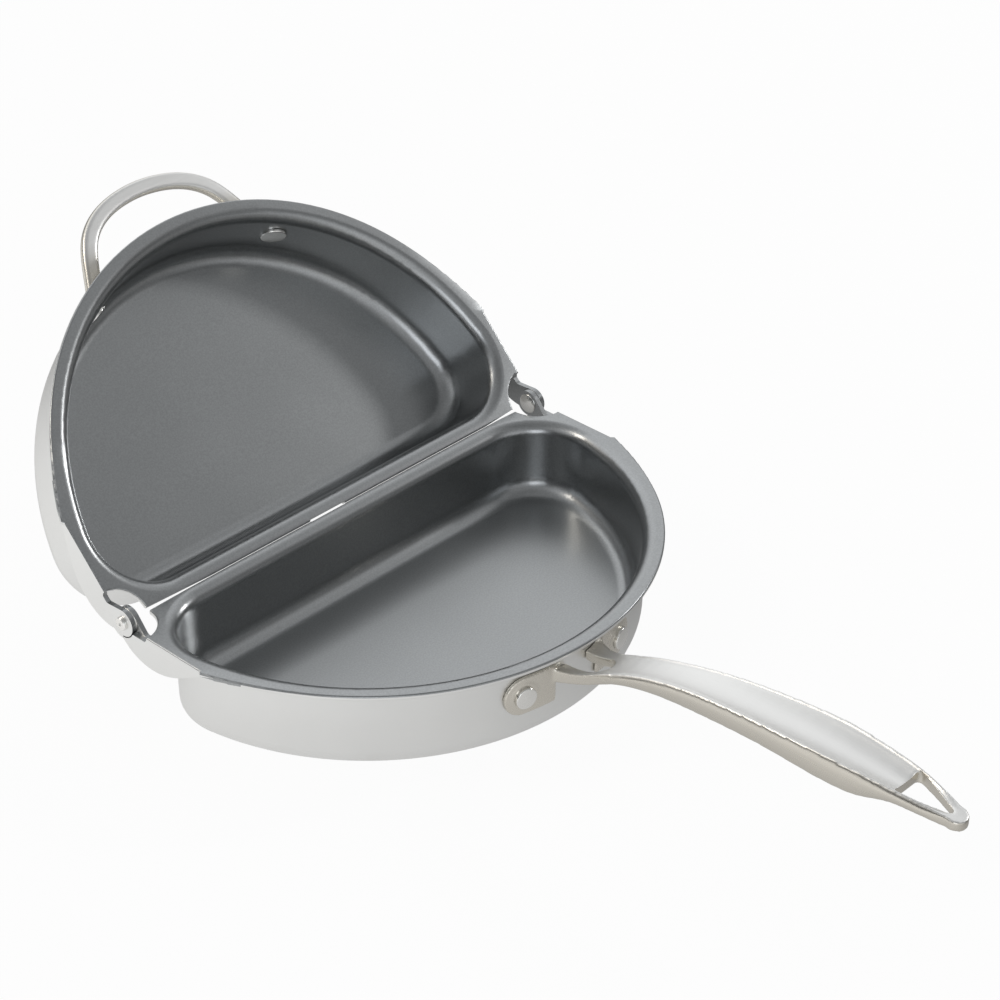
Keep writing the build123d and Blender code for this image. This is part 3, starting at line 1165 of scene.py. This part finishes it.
@dataclass(frozen=True)
class Sky:
    """World that is white to the eye and lights the pan from all round, most from high behind.

    The light grows along tilt. It comes up from a share low over the heights of rise, and goes
    down to a share top over those of fall, where 1 is straight up. A soft glow lies around
    front_way, the narrower the larger front_focus is.
    """

    tint: Colour = (0.97, 0.985, 1.0)
    tilt: Xyz = (0.1, 0.7, 1.1)
    rise: Span = (0.05, 0.45)
    low: float = 0.25
    fall: Span = (0.68, 0.93)
    top: float = 0.35
    dimmest: float = 0.05
    front_way: Xyz = (-0.1, -0.99, 0.05)
    front_focus: float = 6.0
    front_glow: float = 1.0
    panels: tuple[Panel, ...] = (
        Panel((-0.71, -0.65, 0.27), (0.95, 0.98, 1.02), 2.4, 2.0, 18.0),
        Panel((-0.55, 0.57, 0.61), (1.1, 1.0, 0.88), 5.5, 4.0, 12.0),
        Panel((0.72, 0.66, 0.12), (1.0, 1.0, 1.0), 0.6, 6.0, 24.0),
    )

    def strength(self, bench: SkyBench) -> bpy.types.NodeSocket:
        """Strength of the sky without its panels.

        Args:
            bench: The world's node helper.

        Returns:
            The strength.
        """
        height = bench.facing((0, 0, 1))
        rise = bench.soft(height, (self.low, 1.0), self.rise)
        fall = bench.soft(height, (1.0, self.top), self.fall)
        level = bench.maths("MULTIPLY", bench.facing(self.tilt), rise)
        level = bench.maths("MULTIPLY", level, fall)
        level = bench.maths("MAXIMUM", level, self.dimmest)
        ahead = bench.maths("MAXIMUM", bench.facing(self.front_way), 0.0)
        ahead = bench.maths("POWER", ahead, self.front_focus)
        return bench.maths("ADD", level, bench.maths("MULTIPLY", ahead, self.front_glow))

    def build(self) -> None:
        """Set up the world."""
        world = bpy.data.worlds.new("studio")
        world.use_nodes = True
        world.node_tree.nodes.clear()
        bench = SkyBench(world.node_tree)
        sky = bench.light(self.tint, self.strength(bench))
        for panel in self.panels:
            edges = (math.cos(math.radians(panel.rim)), math.cos(math.radians(panel.core)))
            spot = bench.soft(bench.facing(panel.way), (0.0, panel.strength), edges)
            lit = bench.light(panel.tint, spot)
            sky = bench.add("ShaderNodeAddShader", {0: sky, 1: lit}).outputs[0]
        seen = bench.add("ShaderNodeLightPath").outputs["Is Camera Ray"]
        links = {0: seen, 1: sky, 2: bench.light((1, 1, 1), 1.0)}
        mix = bench.add("ShaderNodeMixShader", links)
        bench.add("ShaderNodeOutputWorld", {"Surface": mix.outputs[0]})
        bpy.context.scene.world = world


@dataclass(frozen=True)
class SideBox:
    """Soft square lamp on the right, in metres and watts."""

    place: Xyz = (2.12, -0.90, 1.02)
    target: Xyz = (0.0, 0.05, 0.08)
    size: float = 0.3
    power: float = 10.5

    def build(self) -> None:
        """Hang the lamp."""
        data = bpy.data.lights.new("side_box", "AREA")
        data.shape = "SQUARE"
        data.size = self.size
        data.energy = self.power
        lamp = bpy.data.objects.new("side_box", data)
        lamp.location = self.place
        aim = Vector(self.target) - Vector(self.place)
        lamp.rotation_euler = aim.to_track_quat("-Z", "Y").to_euler()
        bpy.context.scene.collection.objects.link(lamp)


def build_studio() -> None:
    """Set up the camera, floor, world and lamp."""
    for part in (Camera(), Floor(), Sky(), SideBox()):
        part.build()
    bpy.context.scene.view_settings.view_transform = "Standard"


# ---- Main -----------------------------------------------------------------------------------


def main() -> None:
    """Build every class in order."""
    logging.basicConfig(level=logging.INFO, format="%(name)s: %(message)s")
    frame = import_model()
    sizes = PanSizes()
    coating = ReleaseCoating().material()
    bare = SatinAluminium().material()
    steel = SatinSteel().material()
    loop_steel = SatinSteel("loop_steel", stretch=(0.08, 1.0, 1.0), turn=-sizes.lean).material()
    rivet_steel = SatinSteel(
        "rivet_steel",
        stretch=(1.0, 1.0, 1.0),
        roughness=(0.17, 0.28),
        # the rivets carry no topside mark, so this near-white tint covers them whole as their own
        # colour
        side_shade_tint=(0.96, 0.955, 0.94),
        side_gloss=0.0,
    ).material()
    front, back = sizes.front_frame(), sizes.back_frame()
    HalfPan("front_pan", "front", front, sizes, coating, bare).dress(frame)
    HalfPan("back_pan", "back", back, sizes, coating, bare).dress(frame)
    CastHandle("long_handle", "front", front, steel, GripShape(front)).dress(frame)
    CastHandle("loop_handle", "back", back, loop_steel).dress(frame)
    tree = FanTree()
    rivets, pins = RivetSizes(), PinSizes()
    for handle, body, place, angle, depth in (
        ("long_handle", "front", front, rivets.long_angle, rivets.long_depth),
        ("loop_handle", "back", back, rivets.loop_angle, rivets.loop_depth),
    ):
        Fasteners(
            name=f"{handle}_rivets",
            body=body,
            place=place,
            replaced=(f"{handle}_rivet_left", f"{handle}_rivet_right"),
            part=rivets.lathe(depth),
            spread=2 * angle,
            radius=rivets.seat(depth),
            centre=sizes.centre,
            depth=depth,
            finish=rivet_steel,
        ).build(tree)
    Fasteners(
        name="hinge_pins",
        body="front",
        place=front,
        replaced=("hinge_pin_left", "hinge_pin_right", "hinge_washer_left", "hinge_washer_right"),
        part=pins.lathe(),
        spread=pins.spread,
        radius=pins.start,
        centre=0.0,
        depth=-sizes.hinge_height,
        finish=rivet_steel,
    ).build(tree)
    build_studio()


if __name__ == "__main__":
    main()
